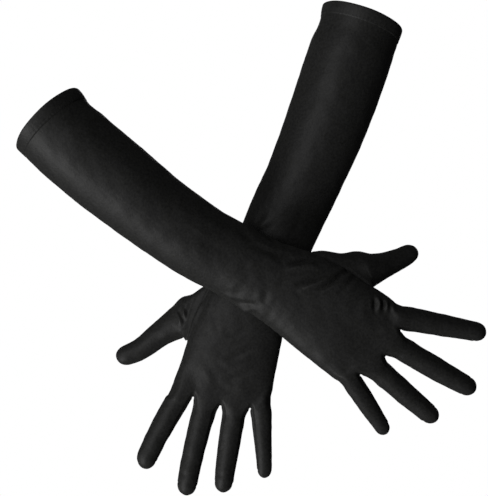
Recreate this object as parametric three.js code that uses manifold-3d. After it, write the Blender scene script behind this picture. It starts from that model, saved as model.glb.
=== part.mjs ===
// A pair of elbow-length stretch-satin opera gloves in the shape that worn gloves take, the right one crossing in
// front of the left at the wrists. Millimetres, +Z up, and the backs of both hands face -Y. The origin is the centre
// of the left glove's arm opening. Each glove is a back panel and a palm panel sewn along both edges, four finger
// stalls whose sides are fourchettes, a set-in thumb on a gusset, a folded hem and its sewing thread.
import * as THREE from "three";
import { mergeVertices } from "three/addons/utils/BufferGeometryUtils.js";
import Module from "manifold-3d";

const wasm = await Module();
wasm.setup();

// ---- Cloth and sewing ---------------------------------------------------------------------------------------------
const CLOTH = 1.2; // wall of a panel: satin with its seam allowance pressed behind it
const SEAM_GAP = 0.3; // between two pieces that are sewn edge to edge
const FOLD_GAP = 4.5; // between the hand and a stall or thumb, where the cloth folds as a finger bends
const HEM_DEPTH = 10; // from the mouth's edge to the row of hem stitches
const THREAD = 0.8; // diameter of a laid sewing thread
const CUT_REACH = 40; // how far the sheet that parts two panels runs past them, so that it stays a seam thick
const WELD = 1e-3; // corners of one surface that lie closer than this are the same corner

// ---- The sleeve ---------------------------------------------------------------------------------------------------
const ARM_LENGTH = 335; // from the mouth's middle to the knuckles, with the cloth pulled smooth
const HAND_LENGTH = 88; // from the wrist to the knuckles
const MOUTH = { width: 68.4, thick: 66 };
const WRIST = { width: 60, thick: 42 };
const MOUTH_FADE = 60; // length over which the slant of the mouth fades out
// Sections of the sleeve between its mouth and its wrist, and of the hand between its wrist and its knuckles. along
// is a share of that length.
const FOREARM = [
  { along: 0.16, width: 69.2, thick: 66 },
  { along: 0.39, width: 67.4, thick: 62 },
  { along: 0.57, width: 63.6, thick: 57 },
  { along: 0.71, width: 62.4, thick: 52 },
  { along: 0.86, width: 60.8, thick: 47 },
];
const HAND = [
  { along: 0.35, width: 73, thick: 38 },
  { along: 0.66, width: 78, thick: 33 },
];

// ---- The hand -----------------------------------------------------------------------------------------------------
const FINGER_WEB = 2; // cloth between two neighbouring stalls at the crotch
const KNUCKLE_THICK = 24; // the hand's thickness where the stalls start
const KNUCKLE_FADE = 36; // length over which the hand takes up the arc of the knuckles
const STALL_THICK = 0.9; // a stall's thickness for its width
const FINGERS = [
  { name: "index", width: 19.4, tipWidth: 16.6, length: 72, sides: ["little"] },
  { name: "middle", width: 20.6, tipWidth: 16.4, length: 79, sides: ["thumb", "little"] },
  { name: "ring", width: 20.2, tipWidth: 15.6, length: 71, sides: ["thumb", "little"] },
  { name: "little", width: 17.4, tipWidth: 13.2, length: 58, sides: ["thumb"] },
];
const THUMB = { name: "thumb", width: 23.4, tipWidth: 17.4, length: 49 };
const GUSSET_ROOT_WIDTH = 34; // the thumb gusset where it leaves the palm
const TIP_ROUND = 9; // length of the rounded end of a stall
const FOURCHETTE = { base: 8, end: 2.6, shortOfTip: 11 }; // width at the crotch, width at its point, where it ends

const KNUCKLE_WIDTH = FINGERS.reduce((sum, f) => sum + f.width, 0) + FINGER_WEB * (FINGERS.length - 1);

// ---- The two gloves as worn ---------------------------------------------------------------------------------------
// path runs through the middle of the arm and hand, and ends at the knuckles. rucked is the length that folds at the
// wrist take up. littleSide is the side of the hand that its little finger is on, seen from the back of the hand with
// the fingers down: +1 right, -1 left. splay is each finger's angle from the hand's axis, towards the little finger,
// and droop its angle towards the palm. The thumb leaves the hand at root, folds at fold and points at aim.
const GLOVES = [
  {
    name: "left",
    littleSide: 1,
    path: [
      [0, 0, 0],
      [-14, 0, -38],
      [-32.5, 1, -91],
      [-49, 3, -131],
      [-64, 5, -163],
      [-78, 7, -197],
      [-91, 8, -230],
      [-101.5, 8, -259],
      [-109.5, 8, -284],
      [-117, 8, -313.5],
    ],
    rucked: 0,
    mouthTilt: 11,
    knuckleArc: 8.5,
    knuckleSlant: 4,
    splay: [-14.5, 0.2, 6, 18.2],
    droop: [2, 3, 3, 2],
    thumb: { root: [-126, 16, -238], fold: [-161, 22, -259.5], aim: [-204.2, 25, -286.3] },
  },
  {
    name: "right",
    littleSide: -1,
    path: [
      [-258.2, -48, -86],
      [-234.4, -47, -110.4],
      [-194.1, -46, -143],
      [-167, -45, -164.8],
      [-138, -44, -184.4],
      [-122.8, -43, -193.3],
      [-83.3, -42, -213.7],
      [-47.5, -42, -231.7],
      [-18.1, -42, -252.8],
      [5.7, -42, -269.6],
    ],
    rucked: 12,
    mouthTilt: 14,
    knuckleArc: 15,
    knuckleSlant: 0,
    splay: [-25.4, -6.6, 5.2, 20.8],
    droop: [12, 11, 11, 20],
    thumb: { root: [-37, -33, -213], fold: [0.5, -28, -210.3], aim: [43.4, -10, -192.3] },
  },
];

// ---- Facets -------------------------------------------------------------------------------------------------------
const AROUND_ARM = 20;
const AROUND_STALL = 12;
const AROUND_THREAD = 6;
const ARM_STEPS = 13;
const STALL_STEPS = 3;
const GUSSET_STEPS = 3;

const TOWARDS_BACK = new THREE.Vector3(0, -1, 0); // out of the back of both hands
const FULL_TURN = 2 * Math.PI;

// ---- Solids -------------------------------------------------------------------------------------------------------
// A closed three.js geometry as a manifold-3d solid, whichever way round its faces were wound.
function solidOf(geometry) {
  const bare = new THREE.BufferGeometry();
  bare.setAttribute("position", geometry.getAttribute("position"));
  bare.setIndex(geometry.index);
  const merged = mergeVertices(bare, WELD);
  const index = merged.index.array;
  const corners = [];
  for (let i = 0; i < index.length; i += 3) {
    const [a, b, c] = index.slice(i, i + 3);
    if (a !== b && b !== c && c !== a) corners.push(a, b, c);
  }
  const build = (triangles) =>
    new wasm.Manifold(
      new wasm.Mesh({
        numProp: 3,
        vertProperties: merged.attributes.position.array,
        triVerts: new Uint32Array(triangles),
      }),
    );
  const solid = build(corners);
  return solid.volume() > 0 ? solid : build(corners.reverse());
}

// The largest of the bodies that a cut leaves, so that slivers no wider than a seam are dropped.
function largest(bodies) {
  return bodies.reduce((best, body) => (body.volume() > best.volume() ? body : best));
}

// The two largest bodies that a cut leaves: first the one on the backs of the hands, then the one on the palms.
function backAndPalm(solid) {
  const depth = (body) => body.boundingBox().min[1] + body.boundingBox().max[1];
  return solid
    .decompose()
    .sort((p, q) => q.volume() - p.volume())
    .slice(0, 2)
    .sort((p, q) => depth(p) - depth(q));
}

function meshOf(name, solid, material) {
  const { numProp, numVert, vertProperties, triVerts } = solid.getMesh();
  const positions = new Float32Array(numVert * 3);
  for (let i = 0; i < numVert; i++) positions.set(vertProperties.subarray(i * numProp, i * numProp + 3), i * 3);
  const geometry = new THREE.BufferGeometry();
  geometry.setAttribute("position", new THREE.BufferAttribute(positions, 3));
  geometry.setIndex(new THREE.BufferAttribute(triVerts, 1));
  geometry.computeVertexNormals();
  const mesh = new THREE.Mesh(geometry, material);
  mesh.name = name;
  return mesh;
}

// A LatheGeometry laid on a limb. Its profile holds (depth, along) pairs, and place(angle, depth, along) is the point
// of the limb at that angle round it, that depth under its skin and that distance along it.
function drape(profile, around, place) {
  const geometry = new THREE.LatheGeometry(profile, around);
  const position = geometry.getAttribute("position");
  for (let i = 0; i < position.count; i++) {
    const { x: depth, y: along } = profile[i % profile.length];
    const turn = (Math.floor(i / profile.length) % around) / around;
    position.setXYZ(i, ...place(turn * FULL_TURN, depth, along));
  }
  return solidOf(geometry);
}

// Profile of a wall between two depths, along a list of distances.
function wall(alongs, outer, inner) {
  const outside = alongs.map((along) => new THREE.Vector2(outer, along));
  const inside = alongs.map((along) => new THREE.Vector2(inner, along)).reverse();
  return [...outside, ...inside, outside[0].clone()];
}

// Profile of a filled body under one depth, closed at the limb's centreline.
function core(alongs, outer) {
  const outside = alongs.map((along) => new THREE.Vector2(outer, along));
  const first = new THREE.Vector2(Infinity, alongs[0]);
  const last = new THREE.Vector2(Infinity, alongs[alongs.length - 1]);
  return [first, ...outside, last];
}

// Profile of a round thread that lies at one depth and one distance along a limb.
function threadRing(depth, along) {
  const ring = [];
  for (let i = 0; i <= AROUND_THREAD; i++) {
    const angle = ((i % AROUND_THREAD) / AROUND_THREAD) * FULL_TURN;
    ring.push(new THREE.Vector2(depth + (Math.sin(angle) * THREAD) / 2, along + (Math.cos(angle) * THREAD) / 2));
  }
  return ring;
}

function evenly(from, to, steps) {
  return Array.from({ length: steps + 1 }, (_, i) => from + ((to - from) * i) / steps);
}

// ---- Limbs --------------------------------------------------------------------------------------------------------
// Axes at a point of a limb: x across the hand, y out of its back, z towards the fingertips.
function axesAlong(direction) {
  const z = direction.clone().normalize();
  const x = new THREE.Vector3().crossVectors(TOWARDS_BACK, z).normalize();
  return { x, y: new THREE.Vector3().crossVectors(z, x), z };
}

function pointAt(centre, axes, x, y, z) {
  return centre.clone().addScaledVector(axes.x, x).addScaledVector(axes.y, y).addScaledVector(axes.z, z);
}

// How far the knuckle line lies in front of the hand's last station, at a place across it.
function knuckleRise(glove, across) {
  const share = (across * glove.littleSide) / (KNUCKLE_WIDTH / 2);
  return glove.knuckleArc * (1 - share * share) - glove.knuckleSlant * share;
}

// Half the width and half the thickness of an arm and hand of a length, at any distance from the mouth.
function sectionsOf(length) {
  const wrist = length - HAND_LENGTH;
  const sections = [
    { ...MOUTH, along: 0 },
    ...FOREARM.map((section) => ({ ...section, along: section.along * wrist })),
    { ...WRIST, along: wrist },
    ...HAND.map((section) => ({ ...section, along: wrist + section.along * HAND_LENGTH })),
    { width: KNUCKLE_WIDTH, thick: KNUCKLE_THICK, along: length },
  ];
  const halves = sections.flatMap(({ width, thick }) => [width / 2, thick / 2]);
  return new THREE.CubicInterpolant(sections.map(({ along }) => along), halves, 2);
}

// The arm and hand of a glove: one limb from its mouth to its knuckles, where its path ends.
function armOf(glove) {
  const path = new THREE.CatmullRomCurve3(glove.path.map((point) => new THREE.Vector3(...point)));
  const pathLength = path.getLength();
  const length = ARM_LENGTH - glove.rucked;
  const sections = sectionsOf(length);

  function at(along) {
    const onPath = pathLength - length + along;
    const inside = THREE.MathUtils.clamp(onPath, 0, pathLength);
    const t = path.getUtoTmapping(inside / pathLength);
    const direction = path.getTangent(t);
    const centre = path.getPoint(t).addScaledVector(direction, onPath - inside);
    const [halfWidth, halfThick] = sections.evaluate(THREE.MathUtils.clamp(along, 0, length));
    return { centre, axes: axesAlong(direction), halfWidth, halfThick };
  }

  // Rings near the mouth lean with its slanting edge, and rings near the knuckles follow their arc.
  function lean(along, across, out) {
    const tilt = Math.tan(THREE.MathUtils.degToRad(glove.mouthTilt));
    const atMouth = THREE.MathUtils.clamp(1 - along / MOUTH_FADE, 0, 1);
    const atKnuckles = THREE.MathUtils.clamp(1 - (length - along) / KNUCKLE_FADE, 0, 1);
    return knuckleRise(glove, across) * atKnuckles - tilt * out * atMouth;
  }

  function place(angle, depth, along) {
    const { centre, axes, halfWidth, halfThick } = at(along);
    const across = Math.max(halfWidth - depth, 0) * Math.cos(angle);
    const out = Math.max(halfThick - depth, 0) * Math.sin(angle);
    return pointAt(centre, axes, across, out, lean(along, across, out)).toArray();
  }

  // The sheet between the back and palm panels: the same limb, a seam thick and wider than its skin.
  function parting(angle, depth, along) {
    const { centre, axes, halfWidth } = at(along);
    const across = Math.max(halfWidth - depth, 0) * Math.cos(angle);
    const out = depth === Infinity ? 0 : (SEAM_GAP / 2) * Math.sin(angle);
    return pointAt(centre, axes, across, out, lean(along, across, out)).toArray();
  }

  const rings = [CLOTH + SEAM_GAP, ...evenly(HEM_DEPTH, length - FOLD_GAP / 2, ARM_STEPS)];
  return { at, place, parting, length, rings };
}

// A finger stall or thumb: a straight limb with a rounded end. Its fold is where it starts on the hand.
function stallOf(size, fold, direction) {
  const axes = axesAlong(direction);

  function place(angle, depth, share) {
    const along = share * (size.length - depth);
    const half = THREE.MathUtils.lerp(size.width, size.tipWidth, along / size.length) / 2;
    const past = Math.max(along - (size.length - TIP_ROUND), 0) / Math.max(TIP_ROUND - depth, TIP_ROUND / 4);
    const round = Math.sqrt(Math.max(1 - past * past, 0));
    const across = (half - depth) * round * Math.cos(angle);
    const out = (half * STALL_THICK - depth) * round * Math.sin(angle);
    return pointAt(fold, axes, across, out, FOLD_GAP / 2 + along).toArray();
  }

  const straight = evenly(0, 1 - TIP_ROUND / size.length, STALL_STEPS);
  const rounded = [0.5, 0.85, 1].map((share) => 1 - ((1 - share) * TIP_ROUND) / size.length);
  const shell = drape(wall([...straight, ...rounded], 0, CLOTH), AROUND_STALL, place);
  const halfWidth = size.width / 2;
  // The fold line runs along the middle of the palm-side cloth.
  const hinge = pointAt(fold, axes, 0, CLOTH / 2 - halfWidth * STALL_THICK, 0);
  return { axes, fold, shell, halfWidth, hinge };
}

// A box in a stall's axes, from one corner to the other.
function cutterBox(stall, low, high) {
  const size = high.map((value, i) => value - low[i]);
  const middle = high.map((value, i) => (value + low[i]) / 2);
  const geometry = new THREE.BoxGeometry(...size);
  const { x, y, z } = stall.axes;
  const basis = new THREE.Matrix4().makeBasis(x, y, z).setPosition(pointAt(stall.fold, stall.axes, ...middle));
  return solidOf(geometry.applyMatrix4(basis));
}

// The outline of a fourchette, a strip that narrows from the crotch to a rounded point, through one side of a stall.
function fourchetteCutter(stall, length, side, grow) {
  const base = FOURCHETTE.base / 2 + grow;
  const end = FOURCHETTE.end / 2 + grow;
  const reach = length - FOURCHETTE.shortOfTip;
  const outline = new THREE.Shape();
  outline.moveTo(-FOLD_GAP, -base);
  outline.lineTo(reach, -end);
  outline.absarc(reach, 0, end, -Math.PI / 2, Math.PI / 2, false);
  outline.lineTo(-FOLD_GAP, base);
  const depth = stall.halfWidth + 2 * CLOTH;
  const geometry = new THREE.ExtrudeGeometry(outline, { depth, bevelEnabled: false, curveSegments: 4 });
  const { x, y, z } = stall.axes;
  const outward = x.clone().multiplyScalar(side);
  const basis = new THREE.Matrix4().makeBasis(z, y, outward).setPosition(stall.fold);
  return solidOf(geometry.applyMatrix4(basis));
}

// ---- Pieces of a glove --------------------------------------------------------------------------------------------
const satin = new THREE.MeshStandardMaterial({ color: 0x141416, roughness: 0.42, metalness: 0 });
const thread = new THREE.MeshStandardMaterial({ color: 0x1a1a1c, roughness: 0.6, metalness: 0 });

// The back and palm panels, cut apart along both side seams, with the hole that the thumb gusset is sewn to.
function panels(glove, arm, thumbBore) {
  const shell = drape(wall(arm.rings, 0, CLOTH), AROUND_ARM, arm.place);
  const overrun = [-HEM_DEPTH, ...arm.rings, arm.length + HEM_DEPTH];
  const parting = drape(core(overrun, -CUT_REACH), AROUND_ARM, arm.parting);
  const [back, palm] = backAndPalm(shell.subtract(parting).subtract(thumbBore));
  return [meshOf(`${glove.name}_back_panel`, back, satin), meshOf(`${glove.name}_palm_panel`, palm, satin)];
}

// The hem: a band folded over the raw edge of the panels, out to the mouth, and the thread that holds it.
function hem(glove, arm) {
  const outer = -(SEAM_GAP + CLOTH);
  const inner = 2 * CLOTH + SEAM_GAP;
  const folded = [
    [outer, HEM_DEPTH],
    [outer, 0],
    [inner, 0],
    [inner, HEM_DEPTH],
    [CLOTH + SEAM_GAP, HEM_DEPTH],
    [CLOTH + SEAM_GAP, CLOTH],
    [-SEAM_GAP, CLOTH],
    [-SEAM_GAP, HEM_DEPTH],
    [outer, HEM_DEPTH],
  ].map(([depth, along]) => new THREE.Vector2(depth, along));
  const band = drape(folded, AROUND_ARM, arm.place);
  const stitchDepth = outer - SEAM_GAP - THREAD / 2;
  const stitches = drape(threadRing(stitchDepth, HEM_DEPTH - THREAD), AROUND_ARM, arm.place);
  return [meshOf(`${glove.name}_hem`, band, satin), meshOf(`${glove.name}_hem_stitching`, stitches, thread)];
}

// The thread laid inside a side seam, from under the hem to the knuckles. It bends where the panels do.
function sideThread(glove, arm, towards, thumbBore) {
  const side = towards === "little" ? glove.littleSide : -glove.littleSide;
  const depth = CLOTH + SEAM_GAP + THREAD / 2;
  const from = HEM_DEPTH + THREAD;
  const alongs = [from, ...arm.rings.filter((along) => along > from + THREAD)];

  function place(angle, radius, along) {
    const { axes } = arm.at(along);
    const middle = new THREE.Vector3(...arm.place(side > 0 ? 0 : Math.PI, depth, along));
    const half = radius === Infinity ? 0 : THREAD / 2;
    return pointAt(middle, axes, half * Math.cos(angle), half * Math.sin(angle), 0).toArray();
  }

  const laid = drape(core(alongs, 0), AROUND_THREAD, place);
  const clear = largest(laid.subtract(thumbBore).decompose());
  return meshOf(`${glove.name}_${towards}_side_thread`, clear, thread);
}

function stallPieces(glove, finger, stall) {
  const length = finger.length + FOLD_GAP / 2;
  const reach = stall.halfWidth + 2 * CLOTH;
  const parting = cutterBox(stall, [-reach, -SEAM_GAP / 2, -FOLD_GAP], [reach, SEAM_GAP / 2, length + CLOTH]);
  let panelsLeft = stall.shell.subtract(parting);
  const pieces = [];
  for (const towards of finger.sides) {
    const side = towards === "little" ? glove.littleSide : -glove.littleSide;
    panelsLeft = panelsLeft.subtract(fourchetteCutter(stall, length, side, SEAM_GAP));
    const strip = largest(stall.shell.intersect(fourchetteCutter(stall, length, side, 0)).decompose());
    const which = finger.sides.length > 1 ? `_${towards}_side` : "";
    pieces.push(meshOf(`${glove.name}_${finger.name}_fourchette${which}`, strip, satin));
  }
  const [back, palm] = backAndPalm(panelsLeft);
  pieces.push(meshOf(`${glove.name}_${finger.name}_back`, back, satin));
  pieces.push(meshOf(`${glove.name}_${finger.name}_palm`, palm, satin));
  return pieces;
}

// The set-in thumb: its gusset on the palm, the thumb itself with one seam on its inner side, and the seam's thread.
function thumbOf(glove, arm) {
  const root = new THREE.Vector3(...glove.thumb.root);
  const fold = new THREE.Vector3(...glove.thumb.fold);
  const aim = new THREE.Vector3(...glove.thumb.aim);
  const stall = stallOf(THUMB, fold, aim.sub(fold));
  const gussetLength = root.distanceTo(fold);
  const gussetAxes = axesAlong(fold.clone().sub(root));

  function place(angle, depth, along) {
    const share = along / gussetLength;
    const half = THREE.MathUtils.lerp(GUSSET_ROOT_WIDTH, THUMB.width, share) / 2;
    const turned = new THREE.Vector3().lerpVectors(gussetAxes.z, stall.axes.z, THREE.MathUtils.clamp(share, 0, 1));
    const axes = axesAlong(turned);
    const centre = root.clone().lerp(fold, share);
    const across = Math.max(half - depth, 0) * Math.cos(angle);
    const out = Math.max(half * STALL_THICK - depth, 0) * Math.sin(angle);
    return pointAt(centre, axes, across, out, 0).toArray();
  }

  const end = gussetLength - FOLD_GAP / 2;
  const tube = drape(wall(evenly(0, end, GUSSET_STEPS), 0, CLOTH), AROUND_STALL, place);
  const bore = drape(core(evenly(0, end, GUSSET_STEPS), CLOTH), AROUND_STALL, place);
  const hand = drape(core(arm.rings, -SEAM_GAP), AROUND_ARM, arm.place);
  const gusset = largest(tube.subtract(hand).decompose());
  const ring = drape(threadRing(-SEAM_GAP - THREAD / 2, end - THREAD), AROUND_STALL, place);

  const reach = stall.halfWidth + 2 * CLOTH;
  const seamSide = glove.littleSide > 0 ? [0, reach] : [-reach, 0];
  const slit = cutterBox(
    stall,
    [seamSide[0], -SEAM_GAP / 2, -FOLD_GAP],
    [seamSide[1], SEAM_GAP / 2, THUMB.length - TIP_ROUND / 2],
  );
  const pieces = [
    meshOf(`${glove.name}_thumb_gusset`, gusset, satin),
    meshOf(`${glove.name}_thumb`, stall.shell.subtract(slit), satin),
    meshOf(`${glove.name}_thumb_seam_thread`, ring, thread),
  ];
  return { pieces, bore, stall };
}

// Where a finger's stall starts: side by side along the knuckle line, from the index finger to the little finger.
function stallFold(glove, arm, number) {
  const before = FINGERS.slice(0, number).reduce((sum, f) => sum + f.width + FINGER_WEB, 0);
  const across = (before + FINGERS[number].width / 2 - KNUCKLE_WIDTH / 2) * glove.littleSide;
  const { centre, axes } = arm.at(arm.length);
  return pointAt(centre, axes, across, 0, knuckleRise(glove, across));
}

function stallDirection(glove, arm, number) {
  const { axes } = arm.at(arm.length);
  const splay = THREE.MathUtils.degToRad(glove.splay[number]);
  const droop = THREE.MathUtils.degToRad(glove.droop[number]);
  const level = axes.z.clone().multiplyScalar(Math.cos(splay));
  level.addScaledVector(axes.x, Math.sin(splay) * glove.littleSide).multiplyScalar(Math.cos(droop));
  return level.addScaledVector(axes.y, -Math.sin(droop));
}

// ---- The pair -----------------------------------------------------------------------------------------------------
function gloveOf(glove) {
  const arm = armOf(glove);
  const thumb = thumbOf(glove, arm);
  const stalls = FINGERS.map((finger, i) => stallOf(finger, stallFold(glove, arm, i), stallDirection(glove, arm, i)));
  const meshes = [
    ...panels(glove, arm, thumb.bore),
    ...hem(glove, arm),
    ...thumb.pieces,
    sideThread(glove, arm, "little", thumb.bore),
    sideThread(glove, arm, "thumb", thumb.bore),
    ...stalls.flatMap((stall, i) => stallPieces(glove, FINGERS[i], stall)),
  ];
  return { name: glove.name, meshes, mouth: arm.at(0).centre, stalls: [...stalls, thumb.stall] };
}

const gloves = GLOVES.map(gloveOf);
const origin = gloves[0].mouth;
const pair = new THREE.Group();

// The line that each stall and thumb folds on: a point of it, and its direction for a fold towards the palm.
export const folds = {};

for (const glove of gloves) {
  for (const mesh of glove.meshes) {
    mesh.geometry.translate(-origin.x, -origin.y, -origin.z);
    pair.add(mesh);
  }
  [...FINGERS, THUMB].forEach((finger, i) => {
    const { hinge, axes } = glove.stalls[i];
    folds[`${glove.name}_${finger.name}`] = { at: hinge.clone().sub(origin).toArray(), axis: axes.x.toArray() };
  });
}

export default pair;
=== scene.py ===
import math

import bpy
import numpy as np
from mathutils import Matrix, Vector, kdtree


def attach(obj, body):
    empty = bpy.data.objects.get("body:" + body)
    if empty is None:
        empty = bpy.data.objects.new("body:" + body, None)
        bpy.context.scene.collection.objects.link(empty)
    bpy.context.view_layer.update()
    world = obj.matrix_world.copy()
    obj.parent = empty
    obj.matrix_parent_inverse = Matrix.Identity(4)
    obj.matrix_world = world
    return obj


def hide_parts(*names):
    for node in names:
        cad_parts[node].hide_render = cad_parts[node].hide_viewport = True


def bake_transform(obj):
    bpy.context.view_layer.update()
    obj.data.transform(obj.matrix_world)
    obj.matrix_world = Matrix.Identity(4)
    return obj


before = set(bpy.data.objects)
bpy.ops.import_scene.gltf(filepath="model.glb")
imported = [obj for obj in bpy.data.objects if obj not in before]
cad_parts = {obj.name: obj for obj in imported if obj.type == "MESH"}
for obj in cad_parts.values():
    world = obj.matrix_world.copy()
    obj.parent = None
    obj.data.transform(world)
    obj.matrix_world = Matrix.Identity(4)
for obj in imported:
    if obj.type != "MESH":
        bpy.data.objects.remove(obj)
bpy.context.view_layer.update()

MM = 0.001
BACK = np.array([0.0, -1.0, 0.0])  # out of the backs of the hands

# ---- Cloth and sewing ----------------------------------------------------------------------------
CLOTH = 0.7  # satin with its facing
HEM_DEPTH = 10.0
HEM_PROUD = 0.55  # how far the folded hem stands off the panel
HEM_FLARE = 0.5  # how far the free edge stands out
HEM_FLARE_REACH = 5.0
HEM_PINCH = 1.6  # how far the sleeve is drawn in behind the hem, on the thumb's side
HEM_PINCH_AT = 15.0  # where it is drawn in most, from the mouth
HEM_PINCH_REACH = 8.0
HEM_CROWN = 0.18  # how far the band bulges between its edge and the fold
HEM_GAP = 0.4  # between the panel's inside and the folded hem's
STITCH_LINE = HEM_DEPTH - 1.6  # of the hem, from the mouth
HEM_SAG = (0.25, 0.18)  # of the mouth's slow and quick waves
HEM_DENT = 0.28  # under the stitches
HEM_RUCK = 0.07
HEM_COLUMNS = 240
STITCH_LINE_POINTS = 360
SEAM_DEPTH = 0.5
SEAM_WIDTH = 1.3
WELT_HEIGHT = 0.16  # of the ridge beside a seam, over the seam allowance
WELT_AT = 2.3
WELT_WIDTH = 1.2
SEAM_THREAD_DEPTH = CLOTH + 0.35  # the gloves are sewn inside out, so the seams' stitches lie inside

# ---- The hand ------------------------------------------------------------------------------------
COLUMNS = 28  # around the arm: 12 over the backs of the fingers, 12 under them and 2 at each side
THUMB_COLUMNS = 16
THUMB_START = 135  # degrees from the finger side of the thumb over its back to its first column
THUMB_SEAM = 6  # the first column of the thumb's outer half
FINGER_NAMES = ("index", "middle", "ring", "little")
KNUCKLE_REACH = 27.0  # length over which the hand's section turns into the row of finger roots
KNUCKLE_EASE = 1.8  # how late in that length it turns
KNUCKLE_END_INSET = 2.2  # of the outer sides of the end fingers' roots
SLEEVE_RINGS = 22
HAND_RINGS = 4
HOLE_RINGS = 4
HOLE_COLUMNS = (25, 26, 27, 0, 1)  # from the palm side to the back
STALL_DEPTH = 0.92  # a stall's thickness for its width
TIP_ROUND = 0.58  # length of a stall's rounded end for its width
MOUTH_FADE = 60.0  # the slant of the mouth fades out over this length
BOXINESS = 0.5  # how much boxier the hand's section is than the arm's, which is an ellipse
BOXY_FROM = 110.0  # before the knuckles
BOXY_OVER = 80.0

# ---- The two gloves as worn ----------------------------------------------------------------------
# A station of the arm and hand is its centre, half its width and half its thickness. webs are the ends of
# the knuckle line and the three crotches, from the index finger to the little finger, as X and Z. A
# finger is its tip's X and Z, how far the tip lies towards the palm, its width at the root, the middle
# and the tip, and its sideways bow. The thumb's hole is measured back from the knuckles. Its path is
# centres with the width there, and it is free of the hand from a distance along it.
GLOVES = {
    "left": {
        "little_side": 1,
        "mouth_tilt": 11.0,
        "stations": [
            (0, 0, 0, 33.9, 33), (-13.5, 0, -38, 34.6, 33), (-31.9, 1, -91, 33.8, 31),
            (-48.3, 3, -130.9, 31.9, 28.5), (-63.3, 5, -162.9, 31.6, 26), (-77.7, 7, -197, 31, 23.5),
            (-93.5, 8, -230.1, 33.5, 21), (-103.6, 8, -259.2, 37.4, 19), (-110.2, 8, -284.3, 38.9, 16.5),
            (-117.3, 8, -313.9, 40, 12.5),
        ],
        "webs": [(-162, -312.4), (-141.2, -315), (-118.4, -322.4), (-94, -324.7), (-76.2, -317)],
        "fingers": {
            "index": {"tip": (-183.5, -374.4), "drop": 3, "width": (20.1, 18.5, 16.6), "bow": 1.8},
            "middle": {"tip": (-148, -397.2), "drop": 4, "width": (20.6, 17.8, 16.2), "bow": 1.2},
            "ring": {"tip": (-116.9, -395), "drop": 4, "width": (20.3, 17.8, 14.8), "bow": 0.3},
            "little": {"tip": (-81.4, -382.8), "drop": 3, "width": (18.6, 14.6, 11.8), "bow": -0.5},
        },
        "thumb": {
            "hole": (86, 39),
            "path": [
                (-129, 12, -242, 36), (-148.1, 19, -250.7, 30), (-165.8, 22, -260.9, 23.4),
                (-186, 25, -275.9, 18.2), (-205.3, 27, -283.6, 14.8),
            ],
            "free": 31,
        },
    },
    "right": {
        "little_side": -1,
        "mouth_tilt": 14.0,
        "stations": [
            (-258.5, -48, -85.8, 33.9, 33), (-234.5, -47, -109.9, 34.4, 33),
            (-194.1, -46, -142.5, 33.2, 31), (-166.9, -45, -164.2, 31.9, 28.5),
            (-137.9, -44, -184, 30.7, 26), (-122.8, -43, -193.1, 30.6, 24.5),
            (-83.2, -42, -213.9, 31.2, 21.5), (-47.5, -42, -232.2, 37.4, 19),
            (-17.9, -42, -253.4, 39.3, 16.5), (6, -42, -270.3, 40.6, 12.5),
        ],
        "webs": [(26.6, -236.8), (29, -258.2), (17, -279.2), (-3.6, -294.2), (-20.4, -301)],
        "fingers": {
            "index": {"tip": (99.7, -261.2), "drop": 15, "width": (20.5, 17.8, 15.4), "bow": 0.4},
            "middle": {"tip": (91.1, -308), "drop": 15, "width": (19.6, 18.9, 15.4), "bow": -0.6},
            "ring": {"tip": (59.5, -332.3), "drop": 14, "width": (19.8, 17.8, 14.8), "bow": -0.4},
            "little": {"tip": (18.2, -343.2), "drop": 18, "width": (17.4, 15.3, 11.8), "bow": 0.0},
        },
        "thumb": {
            "hole": (80, 29),
            "path": [
                (-26, -38, -214, 38), (-9, -34, -212, 37), (5.2, -30, -208.6, 26.5),
                (16.9, -25, -204.8, 21), (29.6, -19, -199.7, 18.6), (44, -12, -192.2, 15.8),
            ],
            "free": 28,
        },
    },
}
WEB_SETBACK = 3.5  # how far the cloth over a crotch lies behind its web
ROOT_HEIGHT = 9.6  # of a finger's root over the middle of the hand
DIP_HEIGHT = 8.5  # of the dip between two fingers
SIDE_HEIGHT = 4.6  # of the outer sides of the index and little fingers' roots
FOURCHETTE_END = 12.0  # a fourchette stops this far from the fingertip
STRIP_EDGE = 36  # degrees from a stall's side to the edge of its side strip, at the root
STRIP_TAPER = 20  # how many of them a fourchette loses towards its end
TIP_FLATTENING = 0.14
FIRST_RING = 6.0  # of a finger's cage, from the web
FINGER_RING = 6.2  # distance between the next ones
THUMB_RING = 6.5
SLEEVE_GIRTH, FINGER_GIRTH, GUSSET_GIRTH, THUMB_GIRTH = (math.pi * width for width in (66, 18, 30, 24))
SUBDIVISIONS = 3

# ---- Unevenness of the worn cloth: the height of each kind and the size of its lumps ------------
DRAPE = (0.4, 34)  # on the sleeve, drawn out along it
DRAPE_STRETCH = 0.55
DRAPE_FROM, DRAPE_OVER = 12.0, 30.0  # where the drape starts, from the mouth, and how slowly
DRAPE_END, DRAPE_END_OVER = 150.0, 60.0  # where it starts to end, before the knuckles
SEAM_CALM = 4.0  # the finer lumps fade out this near to a seam
SLACK = (0.13, 7)
GRAIN = (0.05, 3)
FINGER_SLACK = (0.16, 10)
SEAM_PUCKER = (0.06, 3.4)
PUCKER_AT, PUCKER_WIDTH = 1.6, 2.2  # beside the seam
WRIST_CREASES = (0.3, 12.5)  # their height and pitch
WANDER = (3.3, 30)  # of the wrist's creases, in radians
PATCHES = (1, 26)  # the creases are strong in some patches and faint in others
FOLD_DIP = 0.35  # depth of the dips beside a fold, for its height
FOLD_TAPER = 0.7
WRIST_SETBACK = 105.0  # of the wrist's creases from the knuckles
WRIST_REACH = 26.0
CORNER_FADE = 6.0  # the cloth grows even this near to a thumb's hole and the ends of the knuckles


# ---- Small tools ---------------------------------------------------------------------------------
def unit(vector):
    return vector / np.linalg.norm(vector)


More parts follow.
